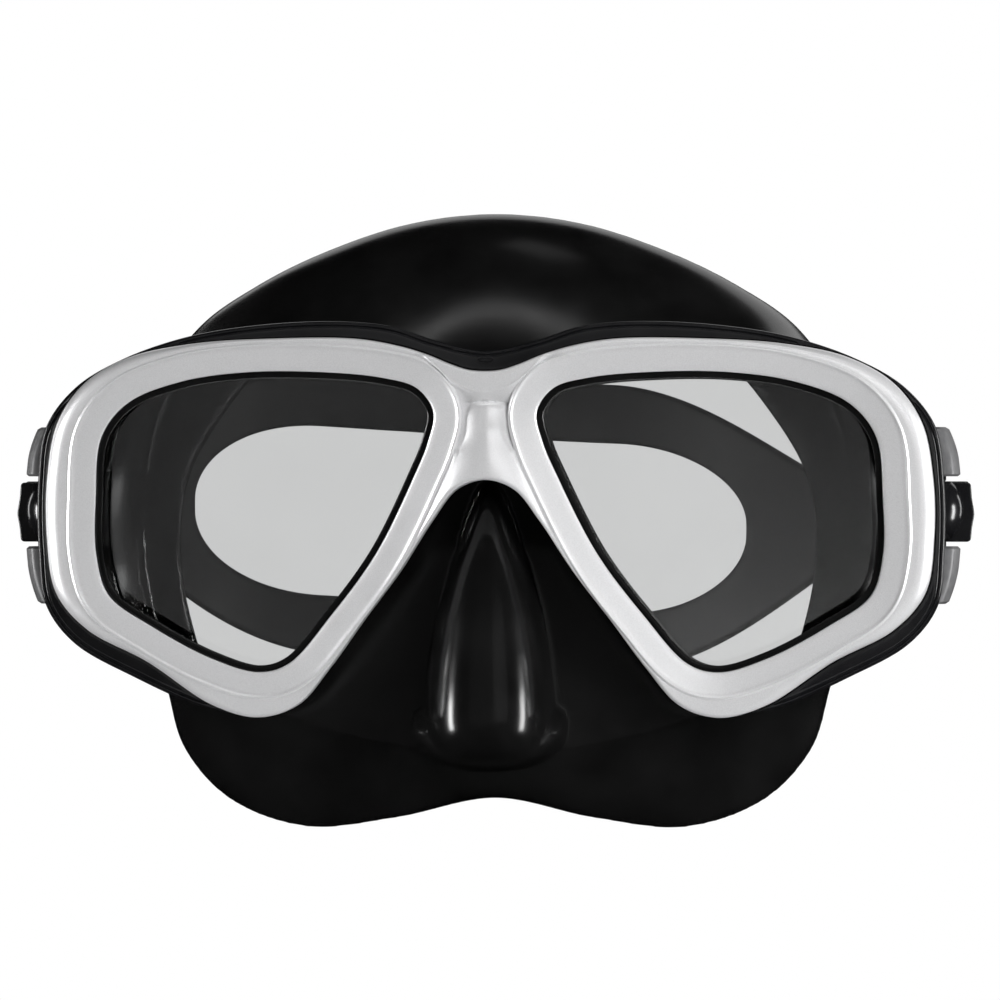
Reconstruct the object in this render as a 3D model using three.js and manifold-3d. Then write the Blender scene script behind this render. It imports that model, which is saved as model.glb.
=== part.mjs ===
// A two-lens diving mask: silver front bezel, black frame, silicone skirt with a nose pocket,
// two tempered lenses, a quick-release buckle on each side and a split silicone head strap.
// Millimetres, +Z up. The wearer faces -Y, and the face rests against the skirt near Y = 0.

import * as THREE from 'three';
import { mergeVertices } from 'three/addons/utils/BufferGeometryUtils.js';
import Module from 'manifold-3d';

const wasm = await Module();
wasm.setup();

// ---------------------------------------------------------------- driving dimensions

const GAP = 0.3; // clearance between touching pieces

// The lens plane: how far it lies in front of the face, its sweep to the sides and its tilt.
const LENS_Y = -36;
const SWEEP = 0.16;
const TILT = 0.12;
const NOSE_FLAT = 7; // half-width of the flat between the two lens planes

// Depths behind the front of the glass, at any point of the lens plane.
const GLASS_THICK = 4;
const LIP_FRONT = -0.9;
const BEZEL_FRONT = -3.2;
const BEZEL_BACK = -1.2;
const BEZEL_RIM_BACK = 3.0;
const FRAME_FRONT = -0.9;
const FRAME_STEP = BEZEL_RIM_BACK + GAP;
const FRAME_BACK = 9;
const SKIRT_FRONT = FRAME_BACK + 0.5;

// Widths measured outward from the visible edge of a lens opening.
const LIP = -1.2;
const GLASS_EDGE = 1.5;
const CHANNEL_EDGE = 2.9;
const WINDOW_EDGE = CHANNEL_EDGE + GAP;
const BEZEL_RIM = 1.2;

const SKIRT_WALL = 1.8;
const SKIRT_CENTRE_Z = -4;

// The buckle's swivel pin, strap roller and release lever on the right side.
const PIVOT = { x: 79, y: -7 };
const ROLLER = { x: 79, y: 11, r: 2.6 };
const LEVER = { x: 83, y: 1.2 };
const PIN_R = 1.3;
const ROLLER_PIN_R = 1.0;
const LEVER_PIN_R = 0.7;
const KNUCKLE_HALF = 5.2;
const CHEEK_OUT = 7.2;
const EAR_LOW = 6.6;
const EAR_TOP = 15;
const EAR_BOTTOM = 16;

const STRAP_THICK = 2;
const STRAP_TAIL_HALF = 4.8;
const STRAP_REAR_HALF = 28;
const STRAP_HOLE_HALF = 16.5;
const STRAP_HOLE_END = 54;
const STRAP_HOLE_ROUND = 25;
const STRAP_STRAIGHT_END = 70;
const STRAP_REAR_Y = 150;
const STRAP_LEAN = 13; // the soft loop hangs over to one side,
const STRAP_SAG = 0.065; // lower on the other,
const STRAP_DROP = 2; // and a little lower as a whole

// ---------------------------------------------------------------- outlines, seen from the front

// The visible edge of the right lens opening, from its inner upper corner over the top.
const LENS_OPENING = [
  [9.3, 17.6], [12.2, 21.8], [18.5, 23.7], [31, 24.8], [44, 24.7], [55.5, 23], [65, 19.2],
  [69.8, 13.2], [71, 2], [71, -8], [68.8, -15.4], [61, -21], [50, -26.8], [41.5, -29.2],
  [36, -27.7], [28, -18.8], [19.8, -7.7], [12.8, 6.2], [10.3, 12.2],
];

// Right halves, from the middle of the top edge to the middle of the nose arch.
const BEZEL_HALF = [
  [0, 25], [8.5, 26], [14.5, 28.7], [23, 30.6], [38, 30.8], [54, 29.8], [65, 27.4], [73, 22.8],
  [78, 15.8], [80, 6], [80.2, -5], [78.6, -15], [73, -21.6], [62, -27.4], [50, -35.2],
  [41.5, -37.4], [34.5, -35.2], [28.5, -28.4], [22, -19.5], [15.7, -11.2], [9.6, -1.8],
  [5.2, 3.7], [0, 5.4],
];
const FRAME_HALF = [
  [0, 28.6], [9, 30.4], [17, 33], [26, 33.9], [40, 33.4], [54, 31.3], [66, 27.3], [74.8, 22.2],
  [80.4, 15], [82, 5], [82, -8], [81, -17.6], [76.6, -24.4], [65, -30.7], [51, -36],
  [41.5, -37], [34.8, -34.7], [28.9, -28.1], [22.4, -19.1], [16.1, -10.8], [10, -1.3],
  [5.5, 4.2], [0, 5.9],
];
// The skirt's front wall and its face seal, each from the middle top to the middle bottom.
const SKIRT_FRONT_HALF = [
  [0, 25], [12, 26.8], [28, 28.4], [45, 28.5], [60, 26.3], [70, 20], [74, 9], [74.7, -4],
  [73, -15], [66, -23], [55, -30], [40, -37], [20, -42.5], [0, -45],
];
const SEAL_HALF = [
  [0, 54], [16, 52.2], [32, 46.9], [44, 41], [54.6, 33.6], [62.5, 22], [66.4, 7], [66.8, -8],
  [64.4, -22], [61, -32], [57.6, -43.4], [49, -52.8], [34.8, -57.8], [18, -56.1], [0, -52.5],
];
const FACE_OPENING_HALF = [
  [0, 42], [15, 40], [29, 35.2], [40.5, 28.5], [49, 19], [56.5, 6], [58, -8], [55.5, -22],
  [52, -31], [47, -39], [39, -44.5], [28, -45], [17, -38], [8, -32], [0, -30],
];

// ---------------------------------------------------------------- helpers

function solidOf(geometry) {
  const plain = new THREE.BufferGeometry();
  plain.setAttribute('position', geometry.getAttribute('position'));
  plain.setIndex(geometry.getIndex());
  const merged = mergeVertices(plain);
  return new wasm.Manifold(new wasm.Mesh({
    numProp: 3,
    vertProperties: new Float32Array(merged.getAttribute('position').array),
    triVerts: new Uint32Array(merged.getIndex().array),
  }));
}

function geometryOf(solid) {
  const mesh = solid.getMesh();
  const geometry = new THREE.BufferGeometry();
  geometry.setAttribute('position', new THREE.BufferAttribute(mesh.vertProperties, 3));
  geometry.setIndex(new THREE.BufferAttribute(mesh.triVerts, 1));
  geometry.computeVertexNormals();
  return geometry;
}

function joined(first, ...others) {
  return others.reduce((sum, geometry) => sum.add(solidOf(geometry)), solidOf(first));
}

function warp(geometry, place) {
  const position = geometry.getAttribute('position');
  const point = new THREE.Vector3();
  for (let i = 0; i < position.count; i++) {
    place(point.fromBufferAttribute(position, i));
    position.setXYZ(i, point.x, point.y, point.z);
  }
  return geometry;
}

// The left-hand copy of a right-hand piece.
function mirrored(geometry) {
  const copy = geometry.clone().scale(-1, 1, 1);
  const index = copy.getIndex();
  for (let i = 0; i < index.count; i += 3) {
    const corner = index.getX(i);
    index.setX(i, index.getX(i + 2));
    index.setX(i + 2, corner);
  }
  copy.computeVertexNormals();
  return copy;
}

function smoothClosed(points, count) {
  const knots = points.map(([x, z]) => new THREE.Vector3(x, z, 0));
  const curve = new THREE.CatmullRomCurve3(knots, true, 'centripetal');
  curve.arcLengthDivisions = 800;
  const spaced = curve.getSpacedPoints(count).slice(0, count);
  return spaced.map((p) => new THREE.Vector2(p.x, p.y));
}

function wholeOutline(half, count) {
  const other = half.slice(1, -1).reverse().map(([x, z]) => [-x, z]);
  return smoothClosed([...half, ...other], count);
}

// An outline moved outward by a distance, whichever way round it runs.
function offset(outline, distance) {
  const sign = THREE.ShapeUtils.isClockWise(outline) ? -1 : 1;
  return outline.map((p, i) => {
    const before = outline.at(i - 1);
    const after = outline[(i + 1) % outline.length];
    const along = after.clone().sub(before).normalize();
    const shift = sign * distance;
    return new THREE.Vector2(p.x + along.y * shift, p.y - along.x * shift);
  });
}

function anticlockwise(outline) {
  return THREE.ShapeUtils.isClockWise(outline) ? outline.slice().reverse() : outline;
}

// A flat slab with an outline seen from the front, between two depths.
function slab(outline, front, back, holes = []) {
  const shape = new THREE.Shape(anticlockwise(outline));
  shape.holes = holes.map((hole) => new THREE.Path(anticlockwise(hole)));
  const geometry = new THREE.ExtrudeGeometry(shape, { depth: back - front, bevelEnabled: false });
  return geometry.rotateX(Math.PI / 2).translate(0, back, 0);
}

// A slab with an outline seen from above, between two heights.
function tier(shape, low, high) {
  const options = { depth: high - low, bevelEnabled: false, curveSegments: 10 };
  return new THREE.ExtrudeGeometry(shape, options).translate(0, 0, low);
}

function block(x0, x1, y0, y1, z0, z1) {
  const geometry = new THREE.BoxGeometry(x1 - x0, y1 - y0, z1 - z0);
  return geometry.translate((x0 + x1) / 2, (y0 + y1) / 2, (z0 + z1) / 2);
}

// A round rod along Z about a buckle axis.
function rod(axis, radius, low, high, segments = 16) {
  const geometry = new THREE.CylinderGeometry(radius, radius, high - low, segments);
  return geometry.rotateX(Math.PI / 2).translate(axis.x, axis.y, (low + high) / 2);
}

// The depth of the lens plane: flat over each lens, and flat across the nose between them.
function lensPlaneY(x, z) {
  return LENS_Y + SWEEP * Math.max(Math.abs(x), NOSE_FLAT) - TILT * z;
}

// Lays a flat-built piece on the lens plane, one flat zone of the plane at a time.
function ontoLensPlane(solid) {
  const edges = [-200, -NOSE_FLAT, NOSE_FLAT, 200];
  const zones = edges.slice(1).map((edge, i) => {
    const zone = solid.intersect(solidOf(block(edges[i], edge, -50, 50, -100, 100)));
    return solidOf(warp(geometryOf(zone), (p) => {
      p.y += lensPlaneY(p.x, p.z);
    }));
  });
  return zones.filter((zone) => !zone.isEmpty()).reduce((sum, zone) => sum.add(zone));
}

const opening = smoothClosed(LENS_OPENING, 46);
const openings = [opening, opening.map((p) => new THREE.Vector2(-p.x, p.y))];
const bezelOutline = wholeOutline(BEZEL_HALF, 92);
const frameOutline = wholeOutline(FRAME_HALF, 92);

// ---------------------------------------------------------------- bezel and frame

function frontBezel() {
  const plate = slab(bezelOutline, BEZEL_FRONT, BEZEL_BACK, openings);
  const rim = slab(bezelOutline, BEZEL_BACK - 0.5, BEZEL_RIM_BACK, [offset(bezelOutline, -BEZEL_RIM)]);
  const saddle = new THREE.SphereGeometry(1, 16, 12).scale(4.6, 3.2, 8).translate(0, BEZEL_FRONT + 1, 12.5);
  const trimmed = solidOf(saddle).subtract(solidOf(block(-9, 9, BEZEL_BACK - 0.2, 9, 0, 25)));
  return geometryOf(ontoLensPlane(joined(plate, rim).add(trimmed)));
}

// The ears that hold the swivel pin above and below the buckle's knuckle.
function ear(low, high) {
  const plate = block(76, 83.2, -18.5, PIVOT.y, low, high);
  return joined(plate, rod(PIVOT, 3.5, low, high));
}

function mainFrame() {
  const windows = openings.map((outline) => offset(outline, WINDOW_EDGE));
  const back = slab(frameOutline, FRAME_STEP, FRAME_BACK, windows);
  const spigot = slab(offset(bezelOutline, -BEZEL_RIM - GAP), FRAME_FRONT, FRAME_STEP + 1, windows);
  let frame = ontoLensPlane(joined(back, spigot));
  const ears = ear(EAR_LOW, EAR_TOP).add(ear(-EAR_BOTTOM, -EAR_LOW));
  const bore = solidOf(rod(PIVOT, PIN_R + GAP, -EAR_BOTTOM + 1.5, EAR_TOP + 1));
  const rightEars = geometryOf(ears.subtract(bore));
  for (const half of [rightEars, mirrored(rightEars)]) {
    frame = frame.add(solidOf(half));
  }
  return geometryOf(frame);
}

// ---------------------------------------------------------------- lenses

function lensGlass(outline) {
  return geometryOf(ontoLensPlane(solidOf(slab(offset(outline, GLASS_EDGE), 0, GLASS_THICK))));
}

// ---------------------------------------------------------------- skirt

// The distance from the skirt's axis to an outline, as a function of the angle around it.
function reach(half) {
  const around = wholeOutline(half, 360).map((p) => {
    const z = p.y - SKIRT_CENTRE_Z;
    return { angle: Math.atan2(z, p.x), radius: Math.hypot(p.x, z) };
  });
  around.sort((a, b) => a.angle - b.angle);
  return (angle) => {
    const next = around.findIndex((p) => p.angle >= angle);
    const b = around[next < 0 ? 0 : next];
    const a = around.at(next < 0 ? -1 : next - 1);
    const turn = (v) => (v + 2 * Math.PI) % (2 * Math.PI);
    const share = turn(angle - a.angle) / turn(b.angle - a.angle);
    return THREE.MathUtils.lerp(a.radius, b.radius, share);
  };
}

const frontReach = reach(SKIRT_FRONT_HALF);
const sealReach = reach(SEAL_HALF);
const faceReach = reach(FACE_OPENING_HALF);

// How deep the seal lies: it wraps back round the temples and forward at the upper lip.
function sealY(x, z) {
  return 8 * (x / 62) ** 2 - 3 * Math.max(0, -z - 35) / 20;
}

// The skirt's flare from its front wall (0) to its seal (1).
function flare(share) {
  return Math.sin((share * Math.PI) / 2) ** 0.9;
}

// A closed tube of rings; each ring says how far back it lies and its radius at an angle.
function loft(rings, segments = 56) {
  const tube = new THREE.CylinderGeometry(1, 1, rings.length - 1, segments, rings.length - 1);
  return warp(tube, (p) => {
    const ring = rings[Math.round(p.y + (rings.length - 1) / 2)];
    const angle = Math.atan2(p.z, p.x);
    const radius = Math.hypot(p.x, p.z) > 0.5 ? ring.radius(angle) : 0;
    const x = radius * Math.cos(angle);
    const z = radius * Math.sin(angle) + SKIRT_CENTRE_Z;
    const start = lensPlaneY(x, z) + SKIRT_FRONT;
    p.set(x, THREE.MathUtils.lerp(start, sealY(x, z), ring.share), z);
  });
}

function skirtRing(share, inset) {
  const radius = (angle) =>
    THREE.MathUtils.lerp(frontReach(angle), sealReach(angle), flare(share)) - inset;
  return { share, radius };
}

function skirtWalls() {
  const outside = [0, 0.12, 0.3, 0.5, 0.7, 0.86, 1].map((share) => skirtRing(share, 0));
  const inside = [0.06, 0.15, 0.3, 0.5, 0.7, 0.88].map((share) => skirtRing(share, SKIRT_WALL));
  inside.push({ share: 0.93, radius: faceReach }, { share: 1.25, radius: faceReach });
  return { outside: solidOf(loft(outside)), inside: solidOf(loft(inside)) };
}

// The nose pocket: narrow under the bridge, full and rounded at the nostrils.
function nosePocket(inset, back) {
  const top = 4.6;
  const height = 51.6;
  const base = -22;
  return warp(new THREE.SphereGeometry(1, 20, 14).rotateX(Math.PI / 2), (p) => {
    const down = THREE.MathUtils.clamp((1 - p.z) / 2, 0, 1);
    const close = Math.sqrt(1 - down ** 12);
    const around = Math.atan2(p.y, p.x);
    const wide = Math.max(0, 15.5 * down ** 0.45 * close - inset);
    const deep = p.y < 0 ? Math.max(0, 26 * down ** 0.38 * close - inset) : back * close;
    const z = top - inset - down * (height - 2 * inset);
    p.set(wide * Math.cos(around), base + deep * Math.sin(around), z);
  });
}

function skirt() {
  const walls = skirtWalls();
  let body = walls.outside.add(solidOf(nosePocket(0, 4)));
  for (const outline of openings) {
    const channel = slab(offset(outline, CHANNEL_EDGE), LIP_FRONT, SKIRT_FRONT + 1);
    body = body.add(ontoLensPlane(solidOf(channel)));
  }
  body = body.subtract(walls.inside).subtract(solidOf(nosePocket(SKIRT_WALL, 12)));
  for (const outline of openings) {
    const sight = slab(offset(outline, LIP), LIP_FRONT - 1, SKIRT_FRONT + 5);
    const groove = slab(offset(outline, GLASS_EDGE + GAP), -GAP, GLASS_THICK + GAP);
    body = body.subtract(ontoLensPlane(joined(sight, groove)));
  }
  return geometryOf(body);
}

// ---------------------------------------------------------------- strap

// The centreline of the right half seen from above: loose tail, turn round the roller, side
// run and half of the rear loop. Each point carries how far it is round the loop (0 to 1).
function strapHalf() {
  const turnRadius = ROLLER.r + GAP + STRAP_THICK / 2;
  const inner = ROLLER.x - turnRadius;
  const outer = ROLLER.x + turnRadius;
  const lying = inner + STRAP_THICK + 0.8;
  const line = [[lying, 44], [lying, 36], [lying, 30]];
  line.push([lying + 0.7, 26], [(lying + outer) / 2, 20], [outer - 0.7, 15]);
  for (let i = 0; i <= 8; i++) {
    const angle = (-Math.PI * i) / 8;
    line.push([ROLLER.x + turnRadius * Math.cos(angle), ROLLER.y + turnRadius * Math.sin(angle)]);
  }
  for (const y of [20, 32, 44, 57]) {
    line.push([inner, y]);
  }
  const stations = line.map(([x, y]) => ({ x, y, round: 0 }));
  for (let i = 0; i <= 20; i++) {
    const angle = (Math.PI / 2) * (i / 20);
    const y = STRAP_STRAIGHT_END + (STRAP_REAR_Y - STRAP_STRAIGHT_END) * Math.sin(angle);
    stations.push({ x: inner * Math.cos(angle), y, round: i / 20 });
  }
  return stations;
}

function strapStations() {
  const right = strapHalf();
  const left = right.slice(0, -1).reverse().map((s) => ({ ...s, x: -s.x }));
  const all = [...right, ...left];
  return all.map((s, i) => {
    const a = all[Math.max(0, i - 1)];
    const b = all[Math.min(all.length - 1, i + 1)];
    const length = Math.hypot(b.x - a.x, b.y - a.y);
    return { ...s, nx: (b.y - a.y) / length, ny: -(b.x - a.x) / length };
  });
}

function strapHalfHeight(station) {
  const wide = THREE.MathUtils.smoothstep(station.round, 0.14, 0.76);
  return THREE.MathUtils.lerp(STRAP_TAIL_HALF, STRAP_REAR_HALF, wide);
}

function strapHoleHalfHeight(station) {
  const start = STRAP_HOLE_END - STRAP_HOLE_ROUND;
  const along = THREE.MathUtils.clamp((Math.abs(station.x) - start) / STRAP_HOLE_ROUND, 0, 1);
  return STRAP_HOLE_HALF * Math.sqrt(Math.max(0.0004, 1 - along ** 2));
}

// A ribbon that follows the stations, leaning and sagging with the loop.
function ribbon(stations, halfHeight, thick) {
  const steps = stations.length - 1;
  const box = new THREE.BoxGeometry(steps, 1, 1, steps, 1, 2);
  return warp(box, (p) => {
    const s = stations[Math.round(p.x + steps / 2)];
    const back = THREE.MathUtils.clamp((s.y - STRAP_STRAIGHT_END) / (STRAP_REAR_Y - STRAP_STRAIGHT_END), 0, 1);
    const out = -p.y * thick;
    const lean = STRAP_LEAN * Math.sin((back * Math.PI) / 2);
    const z = 2 * p.z * halfHeight(s) - (STRAP_SAG * s.x + STRAP_DROP) * back;
    p.set(s.x + s.nx * out - lean, s.y + s.ny * out, z);
  });
}

function strap() {
  const stations = strapStations();
  const holeStations = stations.filter((s) => s.round > 0 && Math.abs(s.x) < STRAP_HOLE_END);
  const band = solidOf(ribbon(stations, strapHalfHeight, STRAP_THICK));
  return geometryOf(band.subtract(solidOf(ribbon(holeStations, strapHoleHalfHeight, STRAP_THICK + 3))));
}

// ---------------------------------------------------------------- buckle pieces, right side

// The swivel knuckle, barrel shaped: fuller in the middle of its height.
function knuckle() {
  const profile = [new THREE.Vector2(0, -KNUCKLE_HALF)];
  for (let i = -4; i <= 4; i++) {
    const height = (KNUCKLE_HALF * i) / 4;
    profile.push(new THREE.Vector2(3.3 + 2.2 * Math.cos((Math.PI * i) / 8), height));
  }
  profile.push(new THREE.Vector2(0, KNUCKLE_HALF));
  return new THREE.LatheGeometry(profile, 24).rotateX(Math.PI / 2).translate(PIVOT.x, PIVOT.y, 0);
}

// The buckle body carries the roller between two cheeks and the lever between two ribs.
function buckleBody() {
  const inner = 74;
  const face = 81;
  let body = joined(knuckle(), block(inner + 2, face, -6, 4.2, -KNUCKLE_HALF, KNUCKLE_HALF));
  body = body.add(solidOf(block(inner, face, -2.5, 4.2, -CHEEK_OUT, CHEEK_OUT)));
  for (const side of [-1, 1]) {
    const cheek = side > 0 ? [KNUCKLE_HALF, CHEEK_OUT] : [-CHEEK_OUT, -KNUCKLE_HALF];
    const rib = side > 0 ? [3.6, KNUCKLE_HALF] : [-KNUCKLE_HALF, -3.6];
    body = body.add(solidOf(block(inner, 81.8, 4, ROLLER.y + 1.5, ...cheek)));
    body = body.add(solidOf(rod({ x: 78, y: ROLLER.y + 1.5 }, 3.7, ...cheek)));
    body = body.add(solidOf(block(face - 1, 85.2, -2.5, 4.2, ...rib)));
    body = body.add(solidOf(rod({ x: 84.4, y: LEVER.y }, 1.8, ...rib)));
  }
  body = body.subtract(solidOf(rod(PIVOT, PIN_R + GAP, -KNUCKLE_HALF - 1, KNUCKLE_HALF + 1)));
  body = body.subtract(solidOf(rod(ROLLER, ROLLER_PIN_R + GAP, -CHEEK_OUT - 1, CHEEK_OUT + 1)));
  body = body.subtract(solidOf(rod(LEVER, LEVER_PIN_R + GAP, -KNUCKLE_HALF - 1, KNUCKLE_HALF + 1)));
  return geometryOf(body);
}

function swivelPin() {
  return rod(PIVOT, PIN_R, -EAR_BOTTOM + 2, EAR_TOP - 0.4);
}

function strapRoller() {
  const half = KNUCKLE_HALF - GAP;
  const sleeve = solidOf(rod(ROLLER, ROLLER.r, -half, half, 24));
  return geometryOf(sleeve.subtract(solidOf(rod(ROLLER, ROLLER_PIN_R + GAP, -half - 1, half + 1))));
}

function rollerPin() {
  return rod(ROLLER, ROLLER_PIN_R, -CHEEK_OUT, CHEEK_OUT, 16);
}

function leverPin() {
  return rod(LEVER, LEVER_PIN_R, -KNUCKLE_HALF, KNUCKLE_HALF, 14);
}

// The release lever: a domed thumb pad in front of its pin and a tooth on the strap behind.
function releaseLever() {
  const shape = new THREE.Shape();
  shape.moveTo(84.7, -2.6);
  shape.quadraticCurveTo(86.6, -2.2, 86.4, 0.6);
  shape.lineTo(86, 9.5);
  shape.quadraticCurveTo(85.8, 10.6, 84.8, 10.8);
  shape.lineTo(84.2, 10.2);
  shape.lineTo(84.3, 8.6);
  shape.lineTo(84.9, 7.6);
  shape.lineTo(84.7, 3);
  const half = 3.3;
  const hub = rod(LEVER, 1.6, -half, half);
  const web = block(LEVER.x, 85, LEVER.y - 1, LEVER.y + 1, -half, half);
  const bore = solidOf(rod(LEVER, LEVER_PIN_R + GAP, -half - 1, half + 1));
  return geometryOf(joined(tier(shape, -half, half), hub, web).subtract(bore));
}

class Coil extends THREE.Curve {
  constructor(radius, length, turns) {
    super();
    Object.assign(this, { radius, length, turns });
  }

  getPoint(t, target = new THREE.Vector3()) {
    const angle = 2 * Math.PI * this.turns * t;
    const across = this.radius;
    return target.set(this.length * t, across * Math.cos(angle), across * Math.sin(angle));
  }
}

// The small spring that holds the lever's tooth down.
function leverSpring() {
  const wire = new THREE.Shape().absarc(0, 0, 0.18, 0, 2 * Math.PI);
  const extrudePath = new Coil(0.65, 2.1, 4);
  const options = { extrudePath, steps: 32, curveSegments: 2, bevelEnabled: false };
  return new THREE.ExtrudeGeometry(wire, options).translate(82.1, -1.4, 0);
}

// The loop that holds the strap's loose tail flat on the strap.
function strapKeeper() {
  const outline = (x0, x1, half) => {
    const shape = new THREE.Shape();
    shape.moveTo(x0, -half);
    shape.lineTo(x1, -half);
    shape.lineTo(x1, half);
    shape.lineTo(x0, half);
    return shape;
  };
  const ring = outline(72.5, 80.3, 6.4);
  ring.holes = [outline(73.7, 79.3, STRAP_TAIL_HALF + GAP)];
  const depth = 5;
  const geometry = new THREE.ExtrudeGeometry(ring, { depth, bevelEnabled: false });
  return geometry.rotateX(Math.PI / 2).translate(0, 34, 0);
}

// ---------------------------------------------------------------- assembly

const FINISHES = {
  silver: { color: 0xc9cbce, roughness: 0.32, metalness: 0.85 },
  plastic: { color: 0x111214, roughness: 0.25, metalness: 0 },
  silicone: { color: 0x0c0c0d, roughness: 0.3, metalness: 0 },
  glass: { color: 0xb9c0c4, roughness: 0.05, metalness: 0 },
  steel: { color: 0xa8abad, roughness: 0.25, metalness: 1 },
};

const mask = new THREE.Group();

function addPiece(name, geometry, finish) {
  const mesh = new THREE.Mesh(geometry, new THREE.MeshStandardMaterial(FINISHES[finish]));
  mesh.name = name;
  mask.add(mesh);
}

addPiece('front_bezel', frontBezel(), 'silver');
addPiece('main_frame', mainFrame(), 'plastic');
addPiece('lens_right', lensGlass(openings[0]), 'glass');
addPiece('lens_left', lensGlass(openings[1]), 'glass');
addPiece('skirt', skirt(), 'silicone');
addPiece('head_strap', strap(), 'silicone');

const SIDE_PIECES = [
  ['buckle_body', buckleBody(), 'plastic'],
  ['buckle_pin', swivelPin(), 'steel'],
  ['strap_roller', strapRoller(), 'plastic'],
  ['roller_pin', rollerPin(), 'steel'],
  ['release_lever', releaseLever(), 'plastic'],
  ['lever_pin', leverPin(), 'steel'],
  ['lever_spring', leverSpring(), 'steel'],
  ['strap_keeper', strapKeeper(), 'silicone'],
];
for (const [name, geometry, finish] of SIDE_PIECES) {
  addPiece(`${name}_right`, geometry, finish);
  addPiece(`${name}_left`, mirrored(geometry.getIndex() ? geometry : mergeVertices(geometry)), finish);
}

export default mask;
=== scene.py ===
# The looks of a two-lens diving mask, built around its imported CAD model.
# Shapes are worked out in millimetres: +Z up, the wearer faces -Y, and the seal is near Y = 0.

import math

import bmesh
import bpy
import numpy as np
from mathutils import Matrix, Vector


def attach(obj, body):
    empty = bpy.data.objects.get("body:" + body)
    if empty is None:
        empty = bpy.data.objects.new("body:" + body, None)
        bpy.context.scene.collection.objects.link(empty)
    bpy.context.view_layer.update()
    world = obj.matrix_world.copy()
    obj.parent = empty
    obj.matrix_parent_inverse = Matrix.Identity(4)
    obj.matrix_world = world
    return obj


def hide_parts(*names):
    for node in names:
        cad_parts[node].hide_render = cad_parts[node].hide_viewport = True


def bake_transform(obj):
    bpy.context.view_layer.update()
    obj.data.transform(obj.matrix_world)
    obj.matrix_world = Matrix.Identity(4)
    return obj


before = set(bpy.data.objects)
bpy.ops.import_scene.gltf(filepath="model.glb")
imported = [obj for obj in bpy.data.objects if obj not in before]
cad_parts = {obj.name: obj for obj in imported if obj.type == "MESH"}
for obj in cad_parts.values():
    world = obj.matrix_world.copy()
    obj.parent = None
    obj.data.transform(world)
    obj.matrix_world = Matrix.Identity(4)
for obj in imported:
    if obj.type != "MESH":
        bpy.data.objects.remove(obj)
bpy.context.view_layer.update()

MM = 0.001

# ---------------------------------------------------------------- driving dimensions

LENS_Y = -36
SWEEP = 0.16
TILT = 0.12
NOSE_BLEND = 10  # half-width over which the two lens planes turn into each other

# Depths behind the front of the glass.
GLASS_THICK = 4
LIP_FRONT = -0.9
BEZEL_BACK = -1.2
BEZEL_RIM_BACK = 3.0
BEZEL_RIM_WIDE = 1.2
FRAME_STEP = 3.3
FRAME_BACK = 9
SKIRT_FRONT = 9.5

SKIRT_WALL = 1.8
SKIRT_CENTRE_Z = -4
POCKET_TOP = 4.6
POCKET_BOTTOM = -46.8
CUP_TOP = -35.6
CUP_BOTTOM = -47.4
POCKET_BASE_Y = -22

# The bezel's raised crest runs at a constant distance outside each lens opening.
CREST = 4.6
CREST_END = 5.05
BEZEL_FACE = -3.0  # depth of the bezel's face outside the crest
SADDLE_FRONT = -5.9
BAND_EDGE_Z = 21.1

PIVOT = (79, -7)
ROLLER = (79, 11)
ROLLER_R = 2.6
LEVER = (83, 1.2)
KNUCKLE_HALF = 5.2
CHEEK_OUT = 7.2
EAR_LOW = 6.1
EAR_TOP = 15
EAR_BOTTOM = 17

STRAP_THICK = 2
STRAP_TAIL_HALF = 4.8
STRAP_REAR_HALF = 28
STRAP_HOLE_HALF = 16.5
STRAP_HOLE_END = 54
STRAP_HOLE_ROUND = 25
STRAP_STRAIGHT_END = 70
STRAP_REAR_Y = 150
STRAP_LEAN = 13
STRAP_SAG = 0.065
STRAP_DROP = 2
STRAP_FIXED_Y = 115  # behind this it stays with the head

# Outlines seen from the front, (x, z), right half only where they run over both eyes.
LENS_OPENING = [
    (9.3, 17.6), (12.2, 21.8), (18.5, 23.7), (31, 24.8), (44, 24.7), (55.5, 23), (65, 19.2),
    (69.8, 13.2), (71, 2), (71, -8), (68.8, -15.4), (61, -21), (50, -26.8), (41.5, -29.2),
    (36, -27.7), (28, -18.8), (19.8, -7.7), (12.8, 6.2), (10.3, 12.2),
]
BEZEL_HALF = [
    (0, 24.9), (3, 25.15), (6.3, 26.2), (10.2, 27.8), (15, 29.3), (23, 30.7),
    (38, 30.8), (54, 29.8), (65, 27.4), (73, 22.8),
    (78, 15.8), (80, 6), (80.2, -5), (78.6, -15), (73, -21.6), (62, -27.4), (50, -35.2),
    (41.5, -37.4), (34.5, -35.2), (28.5, -28.4), (22, -19.5), (15.7, -11.2), (9.6, -1.8),
    (5.2, 3.7), (0, 5.4),
]
FRAME_HALF = [
    (0, 28.6), (9, 30.4), (17, 33), (26, 33.9), (40, 33.4), (54, 31.3), (66, 27.3), (74.8, 22.2),
    (80.4, 15), (82, 5), (82, -8), (80.8, -17.2), (75.8, -24), (64.8, -30.2), (51, -36),
    (41.5, -37), (34.8, -34.7), (28.9, -28.1), (22.4, -19.1), (16.1, -10.8), (10, -1.3),
    (5.5, 4.2), (0, 5.9),
]
SKIRT_FRONT_HALF = [
    (0, 25), (12, 26.8), (28, 28.4), (45, 28.5), (60, 26.3), (70, 20), (74, 9), (74.7, -4),
    (73, -15), (66, -23), (55, -30), (40, -37), (20, -42.5), (0, -45),
]
SEAL_HALF = [
    (0, 54), (16, 52.2), (32, 46.9), (44, 41), (54.6, 33.6), (62.5, 22), (66.4, 7), (66.8, -8),
    (64.4, -22), (61, -32), (57.6, -43.4), (49, -52.8), (34.8, -57.8), (18, -56.1), (0, -52.5),
]
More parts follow.
